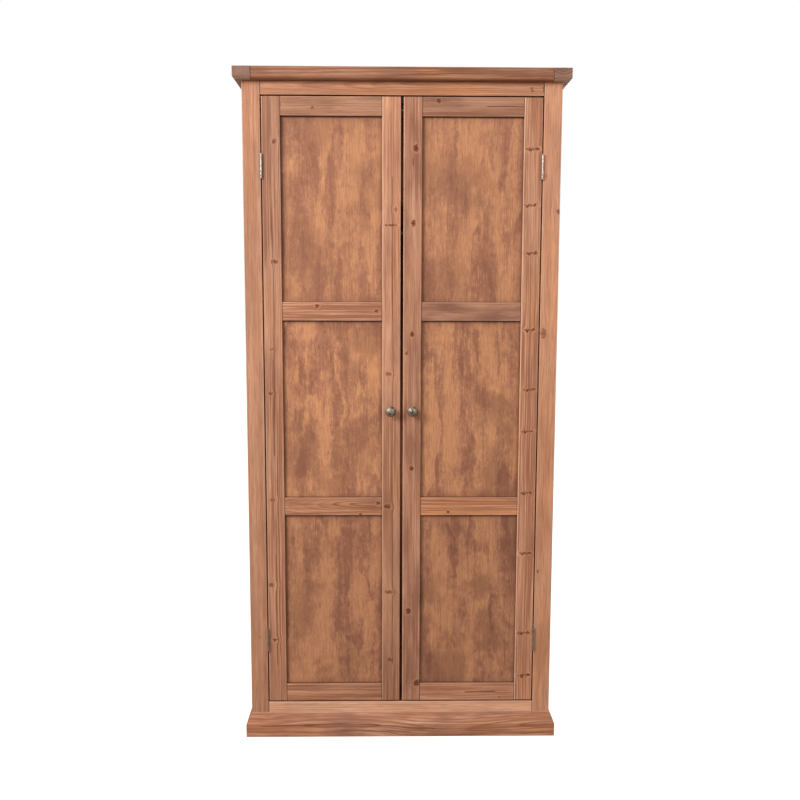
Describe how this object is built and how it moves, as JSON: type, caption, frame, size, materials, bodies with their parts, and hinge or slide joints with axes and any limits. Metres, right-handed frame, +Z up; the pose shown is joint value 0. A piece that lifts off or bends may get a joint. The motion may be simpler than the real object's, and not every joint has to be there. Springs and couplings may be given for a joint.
{
  "type": "armoire",
  "caption": "Freestanding wardrobe in stained knotty pine with framed, panelled doors on butt hinges, an overhanging top, a bevelled plinth, a hat shelf and a hanging rail.",
  "frame": {"origin": "on the floor, in the middle of the overall width and depth", "axes": "+X to the right as one faces the doors, +Y to the back, +Z up"},
  "size_m": [0.887, 0.546, 1.836],
  "materials": {
    "pine": "stained, satin",
    "plywood": "stained, satin",
    "inside_pine": "stained, matt",
    "pewter": "aged, satin",
    "steel": "satin",
    "chrome_tube": "polished",
    "catch_plastic": "matt"
  },
  "bodies": {
    "carcass": {"top_panel": "pine", "top_end_left": "pine", "top_end_right": "pine", "front_post_left": "pine", "front_post_right": "pine", "back_post_left": "pine", "back_post_right": "pine", "front_top_rail": "pine", "front_bottom_rail": "pine", "side_top_rail_left": "pine", "side_top_rail_right": "pine", "side_bottom_rail_left": "pine", "side_bottom_rail_right": "pine", "back_top_rail": "pine", "back_bottom_rail": "pine", "side_panel_left": "plywood", "side_panel_right": "plywood", "back_panel": "plywood", "floor_panel": "plywood", "floor_cleats": "inside_pine", "plinth_front": "pine", "plinth_left": "pine", "plinth_right": "pine", "hat_shelf": "inside_pine", "shelf_cleats": "inside_pine", "hanging_rail": "chrome_tube", "rail_sockets": "chrome_tube", "door_stop": "inside_pine", "magnetic_catch": "catch_plastic", "hinge_frame_leaves": "steel", "hinge_pins": "steel", "carcass_screws": "steel"},
    "door_left": {"left_door_hinge_stile": "pine", "left_door_lock_stile": "pine", "left_door_bottom_rail": "pine", "left_door_lower_middle_rail": "pine", "left_door_upper_middle_rail": "pine", "left_door_top_rail": "pine", "left_door_lower_panel": "plywood", "left_door_middle_panel": "plywood", "left_door_upper_panel": "plywood", "left_door_knob": "pewter", "left_door_knob_screw": "steel", "left_door_strike_plate": "steel", "left_door_hinge_leaves": "steel", "left_door_screws": "steel"},
    "door_right": {"right_door_hinge_stile": "pine", "right_door_lock_stile": "pine", "right_door_bottom_rail": "pine", "right_door_lower_middle_rail": "pine", "right_door_upper_middle_rail": "pine", "right_door_top_rail": "pine", "right_door_lower_panel": "plywood", "right_door_middle_panel": "plywood", "right_door_upper_panel": "plywood", "right_door_knob": "pewter", "right_door_knob_screw": "steel", "right_door_strike_plate": "steel", "right_door_hinge_leaves": "steel", "right_door_screws": "steel"}
  },
  "joints": [
    {"name": "door_left_hinge", "type": "hinge", "parent": "carcass", "child": "door_left", "pos_m": [-0.3735, -0.25, 0.933], "axis": [0, 0, -1], "range_deg": [0, 175]},
    {"name": "door_right_hinge", "type": "hinge", "parent": "carcass", "child": "door_right", "pos_m": [0.3735, -0.25, 0.933], "axis": [0, 0, 1], "range_deg": [0, 175]}
  ]
}
